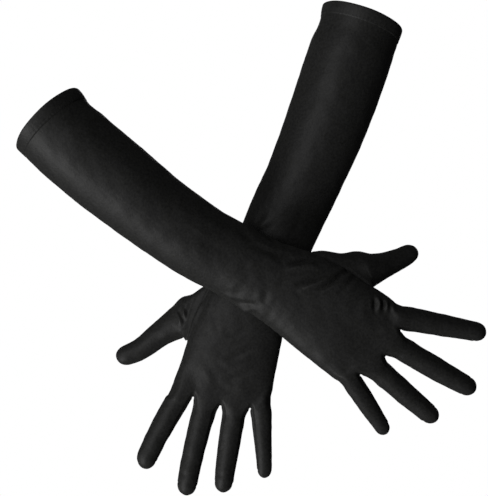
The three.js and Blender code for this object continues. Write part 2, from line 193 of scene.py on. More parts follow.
def smooth(x):
    x = np.clip(x, 0.0, 1.0)
    return x * x * (3 - 2 * x)


def catmull(points, steps=24):
    """A smooth line through the points, as a dense polyline."""
    points = np.asarray(points, float)
    padded = np.vstack([2 * points[0] - points[1], points, 2 * points[-1] - points[-2]])
    t = np.linspace(0, 1, steps, endpoint=False)[:, None]
    spans = [
        0.5 * (2 * b + (c - a) * t + (2 * a - 5 * b + 4 * c - d) * t**2 + (3 * b - a - 3 * c + d) * t**3)
        for a, b, c, d in zip(padded, padded[1:], padded[2:], padded[3:])
    ]
    return np.vstack(spans + [points[-1:]])


def run_along(rows):
    """How far along its path the point of each row lies, and the path's direction there."""
    steps = np.linalg.norm(np.diff(rows[:, :3], axis=0), axis=1)
    along = np.concatenate([[0], np.cumsum(steps)])
    return along, np.gradient(rows[:, :3], along, axis=0)


def row_at(distance, along, rows):
    return np.array([np.interp(distance, along, column) for column in rows.T])


# ---- The arm and hand ----------------------------------------------------------------------------
def make_arm(glove):
    rows = catmull(glove["stations"])
    along, tangents = run_along(rows)
    return {"along": along, "rows": rows, "tangents": tangents, "length": along[-1], "glove": glove}


def arm_at(arm, along):
    """Centre, directions to the thumb side, out of the back and to the fingers, and half sizes."""
    row = row_at(along, arm["along"], arm["rows"])
    ahead = unit(row_at(along, arm["along"], arm["tangents"]))
    side = unit(np.cross(BACK, ahead))
    thumbward = -side * arm["glove"]["little_side"]
    return row[:3], thumbward, np.cross(ahead, side), ahead, row[3:]


def arm_point(arm, along, turn, out=0.0):
    """A point of the sleeve or hand; turn goes from the thumb side over the back to the other side."""
    centre, thumbward, back, ahead, half = arm_at(arm, along)
    squareness = 2 / (2 + BOXINESS * smooth((along - arm["length"] + BOXY_FROM) / BOXY_OVER))
    c, s = math.cos(turn), math.sin(turn)
    out += HEM_FLARE * math.exp(-((along / HEM_FLARE_REACH) ** 2))
    pinch = math.exp(-(((along - HEM_PINCH_AT) / HEM_PINCH_REACH) ** 2))
    out -= HEM_PINCH * (0.5 + 0.5 * math.cos(turn)) * pinch
    across = (half[0] + out) * math.copysign(abs(c) ** squareness, c)
    height = (half[1] + out) * math.copysign(abs(s) ** squareness, s)
    slant = math.tan(math.radians(arm["glove"]["mouth_tilt"])) * max(1 - along / MOUTH_FADE, 0)
    return centre + thumbward * across + back * height - ahead * height * slant


def knuckle_points(arm):
    """The last ring of the hand, where the stalls start, and the middles of the three webs."""
    glove = arm["glove"]
    centre, _, back, ahead, _ = arm_at(arm, arm["length"])
    webs = [np.array([x, centre[1], z]) for x, z in glove["webs"]]
    ring = [None] * COLUMNS
    ring[0], ring[COLUMNS // 2] = webs[0], webs[4]
    for i, web in enumerate(webs):
        inward = {0: webs[1] - web, 4: webs[3] - web}.get(i)  # of the two ends only
        base = web - ahead * WEB_SETBACK if inward is None else web + unit(inward) * KNUCKLE_END_INSET
        height = DIP_HEIGHT if inward is None else SIDE_HEIGHT
        ring[1 + 3 * i] = base + back * height
        ring[COLUMNS - 1 - 3 * i] = base - back * height
    for i in range(4):
        for step in (1, 2):
            over = webs[i] + (webs[i + 1] - webs[i]) * step / 3 - ahead * WEB_SETBACK / 2
            ring[1 + 3 * i + step] = over + back * ROOT_HEIGHT
            ring[COLUMNS - 1 - 3 * i - step] = over - back * ROOT_HEIGHT
    return ring, webs


# ---- The cage ------------------------------------------------------------------------------------
class Cage:
    """A coarse mesh of a glove. Its corners lie on the glove's surface, but for the loose ones."""

    def __init__(self):
        self.points, self.faces, self.cloths, self.maps, self.loose = [], [], [], [], []

    def point(self, position):
        self.points.append(np.asarray(position, float))
        return len(self.points) - 1

    def face(self, corners, cloth, mapping):
        self.faces.append(corners)
        self.cloths.append(cloth)
        self.maps.append(mapping)

    def band(self, first, second, cloth_of, along, girth, hole=()):
        """Faces between two rings, but for a hole's columns; cloth_of names the cloth at each column."""
        count = len(first)
        pitch = girth / count
        for k in range(count):
            if k in hole:
                continue
            n = (k + 1) % count
            mapping = [(k * pitch, along[0]), ((k + 1) * pitch, along[0])]
            mapping += [((k + 1) * pitch, along[1]), (k * pitch, along[1])]
            self.face([first[k], first[n], second[n], second[k]], cloth_of(k), mapping)


def hand_rings(cage, arm):
    """Rings of the sleeve and hand up to the knuckles, each as (distance, corners)."""
    length = arm["length"]
    hole_start, hole_end = arm["glove"]["thumb"]["hole"]
    hole = np.linspace(length - hole_start, length - hole_end, HOLE_RINGS + 1)
    sleeve = np.linspace(HEM_DEPTH - 3, hole[0], SLEEVE_RINGS + 1)[:-1]
    hand = np.linspace(hole[-1], length, HAND_RINGS + 1)[1:]
    last, webs = knuckle_points(arm)
    rings = []
    for along in np.concatenate([sleeve, hole, hand]):
        share = np.clip((along - length + KNUCKLE_REACH) / KNUCKLE_REACH, 0, 1) ** KNUCKLE_EASE
        ahead = arm_at(arm, along)[3]
        corners = []
        for k in range(COLUMNS):
            even = arm_point(arm, along, 2 * math.pi * k / COLUMNS)
            root = last[k] - ahead * (length - along)
            corners.append(cage.point(even * (1 - share) + root * share))
        rings.append((along, corners))
    return rings, webs


def tube_cloth(k):
    return "back_panel" if k < COLUMNS // 2 else "palm_panel"


def stall_axes(base, tip, lateral):
    """Directions of a stall towards its tip, across it and out of the back of the hand."""
    ahead = unit(tip - base)
    side = unit(lateral - ahead * np.dot(lateral, ahead))
    up = np.cross(side, ahead)
    return ahead, side, up * np.sign(np.dot(up, BACK))


def rounded_end(distance, length, tip_width):
    """What a stall's half width is multiplied by, so that its closed end is round."""
    cap = tip_width * TIP_ROUND
    past = max(distance - (length - cap), 0) / cap
    return math.sqrt(max(1 - past**2, 0.0))


def stall_width(distance, length, widths):
    """Half width of a finger's stall at a distance from its root."""
    half = np.interp(distance, [0, length / 2, length], [w / 2 for w in widths])
    return half * rounded_end(distance, length, widths[2])


def stall_distances(start, length, step, tip_width):
    """Where a stall's rings lie: evenly along it, and closer together round its end."""
    cap = tip_width * TIP_ROUND
    count = round((length - cap - start) / step)
    straight = np.linspace(start, length - cap, count + 1)
    rounded = [length - cap + cap * math.sin(math.radians(a)) for a in (30, 55, 76)]
    return np.concatenate([straight, rounded])


def finger(cage, arm, number, knuckles, webs, web_corners):
    """One finger's stall, from the knuckle ring to its closed tip."""
    name = FINGER_NAMES[number]
    shape = arm["glove"]["fingers"][name]
    base = (webs[number] + webs[number + 1]) / 2
    tip = np.array([shape["tip"][0], base[1] + shape["drop"], shape["tip"][1]])
    ahead, side, up = stall_axes(base, tip, webs[number + 1] - webs[number])
    length = np.linalg.norm(tip - base)
    b = 1 + 3 * number
    p = COLUMNS - 1 - 3 * number
    first = [web_corners[number], *knuckles[b : b + 4], web_corners[number + 1]]
    first += [knuckles[p - 3], knuckles[p - 2], knuckles[p - 1], knuckles[p]]
    thumb_strip = number > 0
    little_strip = number < 3

    def cloth_at(distance):
        def cloth_of(k):
            on_thumb_side, on_little_side = k in (9, 0), k in (4, 5)
            strip = distance < length - FOURCHETTE_END
            if strip and on_thumb_side and thumb_strip:
                return f"{name}_fourchette" + ("_thumb_side" if little_strip else "")
            if strip and on_little_side and little_strip:
                return f"{name}_fourchette" + ("_little_side" if thumb_strip else "")
            return f"{name}_back" if k < 5 else f"{name}_palm"

        return cloth_of

    def ring_at(distance):
        share = distance / length
        half = stall_width(distance, length, shape["width"])
        centre = base + (tip - base) * share
        centre = centre - side * shape["bow"] * 4 * share * (1 - share)
        narrow = math.radians(STRIP_EDGE - STRIP_TAPER * smooth(share / (1 - FOURCHETTE_END / length)))
        wide = math.radians(STRIP_EDGE)
        thumb_edge = math.pi - (narrow if thumb_strip else wide)
        little_edge = narrow if little_strip else wide
        third = (thumb_edge - little_edge) / 3
        over = [thumb_edge, thumb_edge - third, little_edge + third, little_edge]
        turns = [math.pi, *over, 0.0, *[-a for a in reversed(over)]]
        flat = 1 - TIP_FLATTENING * smooth((share - 0.75) / 0.25)
        return [
            cage.point(centre + side * half * math.cos(a) + up * half * STALL_DEPTH * flat * math.sin(a))
            for a in turns
        ]

    previous, at = first, 0.0
    for distance in stall_distances(FIRST_RING, length, FINGER_RING, shape["width"][2]):
        ring = ring_at(distance)
        along = (arm["length"] + at, arm["length"] + distance)
        cage.band(previous, ring, cloth_at(at), along, FINGER_GIRTH)
        previous, at = ring, distance
    flat_map = [(0, arm["length"] + length)] * 6
    cage.face(previous[:6], f"{name}_back", flat_map)
    cage.face(previous[5:] + previous[:1], f"{name}_palm", flat_map)
    return {"base": base, "ahead": ahead, "corners": first}


def thumb_loop(rings, hole):
    """The edge of the thumb's hole, from the corner at the back by the wrist, round by the fingers."""
    palm, back = HOLE_COLUMNS[0], HOLE_COLUMNS[-1]
    first, last = hole
    loop = [rings[r][1][back] for r in range(first, last)]
    loop += [rings[last][1][c] for c in HOLE_COLUMNS[:0:-1]]
    loop += [rings[r][1][palm] for r in range(last, first, -1)]
    return loop + [rings[first][1][c] for c in HOLE_COLUMNS[:-1]]


def hermite(start, end, leaving, arriving, t):
    """A point of the smooth curve between two ends that leaves and arrives in the given directions."""
    return (
        (2 * t**3 - 3 * t**2 + 1) * start
        + (t**3 - 2 * t**2 + t) * leaving
        + (3 * t**2 - 2 * t**3) * end
        + (t**3 - t**2) * arriving
    )


def thumb_cloth(k):
    """The thumb has an outer and an inner half."""
    return "thumb_outer" if THUMB_SEAM <= k < THUMB_SEAM + THUMB_COLUMNS // 2 else "thumb_inner"


def thumb(cage, arm, loop):
    """The set-in thumb: a gusset that flows out of its hole in the hand, and then the closed stall."""
    shape = arm["glove"]["thumb"]
    rows = catmull(shape["path"])
    along, tangents = run_along(rows)
    length = along[-1]
    fingerward = arm_at(arm, arm["length"] - sum(shape["hole"]) / 2)[3]
    turns = [math.radians(THUMB_START - 360 / THUMB_COLUMNS * k) for k in range(THUMB_COLUMNS)]
    tip_width = shape["path"][-1][3]

    def section(distance):
        row = row_at(distance, along, rows)
        ahead = unit(row_at(distance, along, tangents))
        side = unit(fingerward - ahead * np.dot(fingerward, ahead))
        up = np.cross(side, ahead)
        up = up * np.sign(np.dot(up, BACK))
        half = row[3] / 2 * rounded_end(distance, length, tip_width)
        across, over = side * half, up * half * STALL_DEPTH
        return row[:3], ahead, [row[:3] + across * math.cos(a) + over * math.sin(a) for a in turns]

    free = shape["free"]
    root, ahead, free_points = section(free)
    edge = [cage.points[corner] for corner in loop]
    rings = []
    for t in (0.2, 0.4, 0.6, 0.8):
        ring = []
        for start, end in zip(edge, free_points):
            span = ahead * np.linalg.norm(end - start)
            ring.append(hermite(start, end, span, span, t))
        rings.append((free * t, ring))
    for distance in stall_distances(free, length, THUMB_RING, tip_width):
        rings.append((distance, section(distance)[2]))
    previous, at, border = loop, 0.0, None
    for distance, points in rings:
        corners = [cage.point(p) for p in points]
        if at < free:
            cage.band(previous, corners, lambda k: "thumb_gusset", (at, distance), GUSSET_GIRTH)
        else:
            cage.band(previous, corners, thumb_cloth, (at, distance), THUMB_GIRTH)
        if distance == free:
            border = corners
        previous, at = corners, distance
    half_count = THUMB_COLUMNS // 2 + 1
    turned = previous[THUMB_SEAM:] + previous[:THUMB_SEAM]
    cage.face(turned[:half_count], "thumb_outer", [(0, length)] * half_count)
    cage.face(turned[half_count - 1 :] + turned[:1], "thumb_inner", [(0, length)] * half_count)
    return {"base": root, "ahead": ahead, "corners": border}


def glove_cage(arm):
    """The whole glove's cage, and where each finger and the thumb start."""
    cage = Cage()
    rings, webs = hand_rings(cage, arm)
    hole_start = arm["length"] - arm["glove"]["thumb"]["hole"][0]
    first = next(i for i, (along, _) in enumerate(rings) if along > hole_start - 1)
    hole = (first, first + HOLE_RINGS)
    for r, ((low, ring), (high, after)) in enumerate(zip(rings, rings[1:])):
        left_out = HOLE_COLUMNS[:-1] if hole[0] <= r < hole[1] else ()
        cage.band(ring, after, tube_cloth, (low, high), SLEEVE_GIRTH, left_out)
    knuckles = rings[-1][1]
    cage.loose = [rings[hole[1]][1][column] for column in HOLE_COLUMNS]
    cage.loose += [knuckles[0], knuckles[COLUMNS // 2]]
    middles = [cage.point(web) for web in webs[1:4]]
    web_corners = [knuckles[0], *middles, knuckles[COLUMNS // 2]]
    limbs = {}
    for number, name in enumerate(FINGER_NAMES):
        limbs[name] = finger(cage, arm, number, knuckles, webs, web_corners)
    limbs["thumb"] = thumb(cage, arm, thumb_loop(rings, hole))
    return cage, limbs


# ---- From cage to smooth cloth -------------------------------------------------------------------
def cage_object(cage, flip):
    """The cage as an object whose material numbers are its cloths, and the cloths' names."""
    names = sorted(set(cage.cloths))
    faces = [face[::-1] if flip else face for face in cage.faces]
    maps = [m[::-1] if flip else m for m in cage.maps]
    mesh = bpy.data.meshes.new("cage")
    mesh.from_pydata([tuple(p) for p in cage.points], [], faces)
    mesh.polygons.foreach_set("material_index", [names.index(c) for c in cage.cloths])
    layer = mesh.uv_layers.new(name="cloth")
    layer.data.foreach_set("uv", [value for m in maps for pair in m for value in pair])
    obj = bpy.data.objects.new("cage", mesh)
    bpy.context.scene.collection.objects.link(obj)
    return obj, names


def subdivided(obj, levels):
    """The smooth mesh that a cage gives. Its first points are the cage's own corners."""
    modifier = obj.modifiers.new("smooth", "SUBSURF")
    modifier.levels = modifier.render_levels = levels
    modifier.quality = 4
    evaluated = obj.evaluated_get(bpy.context.evaluated_depsgraph_get())
    mesh = bpy.data.meshes.new_from_object(evaluated)
    obj.modifiers.remove(modifier)
    return mesh


def values_of(items, attribute, width, kind):
    """An attribute of a mesh's vertices, faces or corners, as an array with one row for each."""
    flat = np.empty(len(items) * width, kind)
    items.foreach_get(attribute, flat)
    return flat.reshape(-1, width)


def points_of(mesh):
    return values_of(mesh.vertices, "co", 3, np.float32).astype(float)


def through_targets(obj, targets, loose, rounds=6):
    """Moves the cage's corners, apart from the loose ones, until the smooth surface meets the targets."""
    corners = targets.copy()
    for _ in range(rounds):
        mesh = subdivided(obj, 1)
        step = targets - points_of(mesh)[: len(targets)]
        step[loose] = 0
        corners += step
        bpy.data.meshes.remove(mesh)
        obj.data.vertices.foreach_set("co", corners.astype(np.float32).ravel())
        obj.data.update()


def smooth_surface(arm):
    """The glove's one smooth surface, still without folds, as arrays in millimetres."""
    cage, limbs = glove_cage(arm)
    obj, names = cage_object(cage, flip=arm["glove"]["little_side"] > 0)
    through_targets(obj, np.array(cage.points), cage.loose)
    mesh = subdivided(obj, SUBDIVISIONS)
    surface = {
        "points": points_of(mesh),
        "faces": values_of(mesh.loops, "vertex_index", 1, np.int32).reshape(-1, 4),
        "cloths": values_of(mesh.polygons, "material_index", 1, np.int32)[:, 0],
        "names": names,
        "map": values_of(mesh.uv_layers[0].data, "uv", 2, np.float32).reshape(-1, 4, 2),
        "limbs": limbs,
        "loose": cage.loose,
        "arm": arm,
    }
    bpy.data.objects.remove(obj)
    return surface


def edges_of(faces):
    """The four directed edges of each face."""
    return np.vstack([np.stack([faces[:, c], faces[:, (c + 1) % 4]], 1) for c in range(4)])


def normals_of(surface):
    """Unit normals at the surface's points, the larger faces counting for more."""
    corners = surface["points"][surface["faces"]]
    across = np.cross(corners[:, 2] - corners[:, 0], corners[:, 3] - corners[:, 1])
    normals = np.zeros_like(surface["points"])
    for c in range(4):
        for axis in range(3):
            index = surface["faces"][:, c]
            normals[:, axis] += np.bincount(index, across[:, axis], len(normals))
    return normals / np.maximum(np.linalg.norm(normals, axis=1), 1e-12)[:, None]


# ---- Seams and folds -----------------------------------------------------------------------------
def seam_group(name):
    """Cloths that are cut in one on the real glove share a group, so no seam is drawn between them."""
    if name.endswith("_back") or name == "back_panel":
        return "back"
    if name.endswith("_palm") or name == "palm_panel":
        return "palm"
    return "thumb_inner" if name == "thumb_gusset" else name


def seam_points(surface):
    """The points of the edges where two cut pieces of cloth meet."""
    groups = sorted({seam_group(n) for n in surface["names"]})
    of_cloth = np.array([groups.index(seam_group(n)) for n in surface["names"]])
    group = of_cloth[surface["cloths"]]
    edges = np.sort(edges_of(surface["faces"]), axis=1)
    owner = np.tile(group, 4)
    key = edges[:, 0].astype(np.int64) * len(surface["points"]) + edges[:, 1]
    order = np.argsort(key, kind="stable")
    key, owner, edges = key[order], owner[order], edges[order]
    twin = (key[1:] == key[:-1]) & (owner[1:] != owner[:-1])
    return np.unique(edges[1:][twin])


def seam_distance(surface, reach=8.0):
    """How far each point lies from the nearest seam, up to a reach."""
    corners = seam_points(surface)
    tree = kdtree.KDTree(len(corners))
    for i in corners:
        tree.insert(Vector(surface["points"][i]), int(i))
    tree.balance()
    distance = np.full(len(surface["points"]), reach)
    for i, p in enumerate(surface["points"]):
        found = tree.find(p)
        distance[i] = min(found[2], reach)
    return distance


def ripple_noise(points, size, seed, waves=9):
    """A smooth repeatable field of about -1 to 1 whose lumps are about the given size."""
    random = np.random.default_rng(seed)
    total = np.zeros(len(points))
    for _ in range(waves):
        direction = unit(random.normal(size=3)) * 2 * math.pi / (size * random.uniform(1.4, 2.6))
        total += np.sin(points @ direction + random.uniform(0, 2 * math.pi))
    return total / math.sqrt(waves / 2) / 1.6


# A fold is its line's points as X and Z, its height (below zero for a crease) and its half width. They
# all lie on the backs of the hands and the sleeves.
FOLDS = {
    "right": [
        # two pleats that run from the thumb's seam into the back of the hand, and their creases
        ([(-53, -225), (-34, -217), (-18, -207.5)], 2.6, 1.8),
        ([(-54, -220), (-39, -213.5), (-28, -207)], -2.2, 2.2),
        ([(-38, -224), (-25, -217), (-14, -210)], -2.4, 1.7),
        ([(-28, -224), (-19, -218.5), (-11, -212.5)], 1.2, 1.9),
        ([(-20, -226), (-13, -219), (-8, -213)], -1.0, 1.8),
        # the crease where the thumb side meets the wrist
        ([(-61, -203.5), (-50, -201), (-39, -198.5)], -2.4, 2.0),
        ([(-62, -208), (-51, -205.5), (-40, -203.5)], 1.3, 2.4),
        # the edge of the thumb's seam
        ([(-18.5, -204), (-14.5, -206.5), (-10.5, -209.5)], 1.1, 1.3),
        ([(-33, -200), (-26, -202), (-19, -205)], -0.9, 1.8),
        # puckers in the web between the thumb and the index finger
        ([(9, -229.5), (10.8, -235.5), (10, -242)], 1.3, 1.5),
        ([(6.5, -231), (7, -237), (6.5, -243)], -1.2, 1.4),
        ([(14, -231.5), (14.6, -237), (13.6, -242.5)], -1.6, 1.5),
        ([(19.5, -233.5), (20, -237.5), (19.5, -242)], -1.2, 1.4),
        # slack cloth under the wrist
        ([(-117, -228.5), (-108.5, -230.8), (-100, -232.5)], 0.9, 2.0),
        ([(-107, -237), (-100, -240), (-91.5, -241.5)], 1.8, 2.0),
        ([(-108, -241), (-99.5, -244), (-88.5, -245.5)], -1.6, 1.8),
        ([(-105, -234), (-97, -236), (-88, -236.8)], -0.9, 1.8),
        ([(-84, -236), (-81.5, -230), (-80.5, -224.5)], -0.9, 3.0),
        # the cloth bunched over the wrist bone
        ([(-100, -173), (-95.5, -178), (-89, -181.5)], 1.0, 2.4),
        ([(-101, -178), (-96, -181), (-91, -185)], -0.9, 2.6),
        ([(-94, -184.5), (-84, -187.5), (-76, -192)], 0.9, 2.2),
        ([(-84.5, -178), (-76, -183), (-69.5, -187)], -1.5, 2.0),
        ([(-88, -190), (-78, -194), (-68, -200)], -0.7, 2.6),
        ([(-74, -190), (-64, -193), (-55, -195)], 0.8, 2.4),
        # long soft folds towards the wrist from the forearm
        ([(-150, -176), (-128, -187), (-106, -197)], -0.5, 5.0),
        ([(-140, -163), (-122, -172), (-104, -180)], 0.5, 3.2),
        # the hand's outer edge and the knuckles
        ([(-30, -243), (-16, -252), (-4, -262)], -0.35, 5.0),
        ([(3, -233), (-2, -242), (-5, -250)], 0.35, 4.0),
    ],
    "left": [
        # the edge of the hand over the thumb's seam, and the wrinkles of the gusset
        ([(-129.5, -225), (-135.5, -240), (-144.5, -260)], 3.0, 1.5),
        ([(-134.5, -225), (-140.5, -239), (-148.5, -256)], -2.6, 2.4),
        ([(-150, -240.5), (-148, -246), (-146, -252)], 1.2, 1.3),
        ([(-156, -243), (-153, -249), (-151, -255)], 1.1, 1.4),
        # faint creases across the back of the hand
        ([(-112, -298), (-101, -296), (-90, -292.5)], -1.0, 2.4),
        ([(-111, -281), (-101, -278.5), (-93, -275)], -0.8, 2.4),
        ([(-122, -283), (-113, -286), (-103, -286)], 0.5, 2.4),
        ([(-133, -290), (-128, -297), (-125, -304)], 0.35, 2.4),
        ([(-128.5, -230), (-129, -246), (-127, -260)], 0.45, 2.2),
        ([(-123, -234), (-123, -248), (-120, -262)], -0.4, 2.2),
        ([(-114, -262), (-104, -262), (-95, -258)], -0.5, 2.4),
        ([(-116, -302), (-109, -306), (-100, -305)], 0.4, 2.0),
        # the joints of the fingers
        ([(-177, -366), (-170, -362.5), (-164, -359)], -0.3, 2.0),
        ([(-154, -378), (-146, -379.5), (-138, -378)], -0.35, 2.0),
        ([(-124, -378), (-117, -380), (-110, -379)], -0.3, 2.0),
        # a crease on the sleeve where the other wrist crosses it
        ([(-92.5, -172.5), (-87, -167.5), (-83, -162.5)], -1.0, 2.2),
        ([(-88, -176), (-82, -171), (-77, -166)], 0.6, 2.6),
        ([(-60, -182), (-55, -172), (-51, -160)], -0.5, 3.0),
    ],
}


# A swelling is its middle, its reach and its height: the joint at the root of each thumb.
SWELLINGS = {
    "right": [((-9.6, -31, -195), 8.5, 2.4)],
    "left": [((-150, 17, -236), 10, 3.2)],
}


def swelling_heights(name, points):
    """How far the thumbs' root joints push the cloth out."""
    total = np.zeros(len(points))
    for middle, reach, height in SWELLINGS[name]:
        total += height * np.exp(-((np.linalg.norm(points - middle, axis=1) / reach) ** 2))
    return total


def line_distance(flat, line):
    """Distance of X-Z points from a polyline, and the share of the line's length where each is nearest."""
    line = catmull(line, 6)
    reach = np.concatenate([[0], np.cumsum(np.linalg.norm(np.diff(line, axis=0), axis=1))])
    best = np.full(len(flat), 1e9)
    share = np.zeros(len(flat))
    for a, b, low, high in zip(line, line[1:], reach, reach[1:]):
        t = np.clip(((flat - a) @ (b - a)) / max(np.dot(b - a, b - a), 1e-9), 0, 1)
        distance = np.linalg.norm(flat - a - t[:, None] * (b - a), axis=1)
        nearer = distance < best
        best[nearer] = distance[nearer]
        share[nearer] = ((low + t * (high - low)) / reach[-1])[nearer]
    return best, share


def fold_heights(name, points, normals):
    """How far the folds lift the cloth and the creases sink it, on the side of the backs of the hands."""
    flat = points[:, [0, 2]]
    facing = smooth((normals @ BACK + 0.05) / 0.45)
    total = np.zeros(len(points))
    for line, height, width in FOLDS[name]:
        distance, share = line_distance(flat, line)
        taper = np.sin(np.pi * np.clip(share, 0.04, 0.96)) ** FOLD_TAPER
        crest = np.exp(-((distance / width) ** 2))
        dips = FOLD_DIP * np.exp(-(((distance - 2 * width) / width) ** 2))
        total += height * (crest - dips) * taper
    return total * facing


def distance_along(surface):
    """Each point's distance from the mouth along the arm, which goes on along the fingers."""
    along = np.zeros(len(surface["points"]))
    along[surface["faces"].ravel()] = surface["map"][:, :, 1].ravel()
    return along


def crumple(name, surface):
    """Displaces the surface: tight folds, soft drape, the wrist's creases and the sunken seams."""
    points, normals = surface["points"], normals_of(surface)
    length = surface["arm"]["length"]
    along = surface["along"]
    seam = surface["seam"]
    seed = {"left": 11, "right": 29}[name]

    def lumps(kind, step, at=points):
        return kind[0] * ripple_noise(at, kind[1], seed + step)

    wrist = np.exp(-(((along - length + WRIST_SETBACK) / WRIST_REACH) ** 2))
    upper = smooth((along - DRAPE_FROM) / DRAPE_OVER)
    upper *= 1 - smooth((along - length + DRAPE_END) / DRAPE_END_OVER)
    creases = np.sin(2 * math.pi * along / WRIST_CREASES[1] + lumps(WANDER, 0))
    patch = 0.5 + 0.5 * np.clip(lumps(PATCHES, 1), -1, 1)
    height = fold_heights(name, points, normals) + swelling_heights(name, points)
    height += WRIST_CREASES[0] * wrist * creases * patch * patch
    height += upper * lumps(DRAPE, 2, points * [1, 1, DRAPE_STRETCH])
    height += (lumps(SLACK, 3) + lumps(GRAIN, 6)) * smooth(seam / SEAM_CALM)
    on_finger = smooth((along - length - 4) / 10) * smooth(seam / 3)
    height += on_finger * np.clip(lumps(FINGER_SLACK, 4), -FINGER_SLACK[0], FINGER_SLACK[0])
    height *= smooth((along - HEM_DEPTH) / 10)
    height -= SEAM_DEPTH * np.exp(-((seam / SEAM_WIDTH) ** 2))
    height += WELT_HEIGHT * np.exp(-(((seam - WELT_AT) / WELT_WIDTH) ** 2))
    height += lumps(SEAM_PUCKER, 5) * np.exp(-(((seam - PUCKER_AT) / PUCKER_WIDTH) ** 2))
    to_corners = [np.linalg.norm(points - points[corner], axis=1) for corner in surface["loose"]]
    height *= smooth(np.min(to_corners, axis=0) / CORNER_FADE)
    surface["points"] = points + normals * height[:, None]


# ---- Materials -----------------------------------------------------------------------------------
THREADS_IN_A_METRE = 1500.0  # 0.67 mm each: some six times as coarse as real ones, or they wouldn't show
SLUBS_IN_A_METRE = 520.0  # thicker places in the threads, 1.9 mm apart
PULLS_IN_A_METRE = 45.0  # patches where the cloth is pulled tight, 22 mm across
TWISTS_IN_A_METRE = 2600.0  # of the sewing thread, 0.38 mm each
SHEEN_TIGHT, SHEEN_SLACK = 0.44, 0.62  # roughness of the satin where it is pulled tight and where it isn't


def linear(hex_colour):
    """An sRGB hex colour as linear RGBA."""
    values = [int(hex_colour[i : i + 2], 16) / 255 for i in (1, 3, 5)]
    return [v / 12.92 if v <= 0.04045 else ((v + 0.055) / 1.055) ** 2.4 for v in values] + [1.0]


def node(tree, kind, links=None, **settings):
    """Adds a node. A setting that is a socket's name fills that socket, any other sets a property."""
    made = tree.nodes.new(kind)
    for key, value in settings.items():
        if key in made.inputs:
            made.inputs[key].default_value = value
        else:
            setattr(made, key, value)
    for key, source in (links or {}).items():
        tree.links.new(source, made.inputs[key])
    return made


def satin_material():
    """Polyester-elastane stretch satin: deep black with a broad soft sheen that its weave breaks up."""
    material = bpy.data.materials.new("black_stretch_satin")
    material.use_nodes = True
    tree = material.node_tree
    shader = tree.nodes["Principled BSDF"]
    place = node(tree, "ShaderNodeTexCoord")
    here = {"Vector": place.outputs["Object"]}
    threads = node(tree, "ShaderNodeTexNoise", here, Scale=THREADS_IN_A_METRE, Detail=2.0)
    slubs = node(tree, "ShaderNodeTexNoise", here, Scale=SLUBS_IN_A_METRE, Detail=4.0)
    pull = node(tree, "ShaderNodeTexNoise", here, Scale=PULLS_IN_A_METRE, Detail=3.0)
    tones = {"A": linear("#0b0b0b"), "B": linear("#353534")}
    tone = node(tree, "ShaderNodeMix", {"Factor": slubs.outputs["Fac"]}, data_type="RGBA", **tones)
    tree.links.new(tone.outputs["Result"], shader.inputs["Base Color"])
    limits = {"To Min": SHEEN_TIGHT, "To Max": SHEEN_SLACK}
    gloss = node(tree, "ShaderNodeMapRange", {"Value": pull.outputs["Fac"]}, **limits)
    tree.links.new(gloss.outputs["Result"], shader.inputs["Roughness"])
    weave = node(tree, "ShaderNodeBump", {"Height": threads.outputs["Fac"]}, Strength=0.5, Distance=0.00015)
    above = {"Height": slubs.outputs["Fac"], "Normal": weave.outputs["Normal"]}
    bump = node(tree, "ShaderNodeBump", above, Strength=0.4, Distance=0.0004)
    tree.links.new(bump.outputs["Normal"], shader.inputs["Normal"])
    shader.inputs["Specular IOR Level"].default_value = 0.2
    shader.inputs["Diffuse Roughness"].default_value = 1.0
    return material


def thread_material():
    """Spun polyester sewing thread: the satin's black, duller, and lighter where its twist catches light."""
    material = bpy.data.materials.new("black_spun_polyester_thread")
    material.use_nodes = True
    tree = material.node_tree
    shader = tree.nodes["Principled BSDF"]
    place = node(tree, "ShaderNodeTexCoord")
    here = {"Vector": place.outputs["Object"]}
    twist = node(tree, "ShaderNodeTexNoise", here, Scale=TWISTS_IN_A_METRE, Detail=1.0)
    tones = {"A": linear("#0d0d0e"), "B": linear("#1c1c1e")}
    tone = node(tree, "ShaderNodeMix", {"Factor": twist.outputs["Fac"]}, data_type="RGBA", **tones)
    tree.links.new(tone.outputs["Result"], shader.inputs["Base Color"])
    bump = node(tree, "ShaderNodeBump", {"Height": twist.outputs["Fac"]}, Strength=0.5, Distance=0.0001)
    tree.links.new(bump.outputs["Normal"], shader.inputs["Normal"])
    shader.inputs["Roughness"].default_value = 0.6
    return material


SATIN = satin_material()
THREAD = thread_material()


# ---- Pieces --------------------------------------------------------------------------------------
def add_mesh(name, points, faces, material, normals=None, mapping=None):
    """A finished piece at the origin, from points in millimetres."""
    mesh = bpy.data.meshes.new(name)
    mesh.from_pydata((np.asarray(points) * MM).tolist(), [], np.asarray(faces).tolist())
    mesh.materials.append(material)
    mesh.polygons.foreach_set("use_smooth", [True] * len(mesh.polygons))
    if mapping is not None:
        layer = mesh.uv_layers.new(name="cloth")
        layer.data.foreach_set("uv", (np.asarray(mapping, np.float32) * MM).ravel())
    if normals is not None:
        mesh.normals_split_custom_set_from_vertices([tuple(n) for n in normals])
    mesh.update()
    obj = bpy.data.objects.new(name, mesh)
    bpy.context.scene.collection.objects.link(obj)
    return obj


def rim_edges(faces):
    """The directed edges that only one face has."""
    edges = edges_of(faces)
    key = np.sort(edges, axis=1)
    code = key[:, 0].astype(np.int64) * (int(faces.max()) + 1) + key[:, 1]
    _, first, count = np.unique(code, return_index=True, return_counts=True)
    return edges[first[count == 1]]


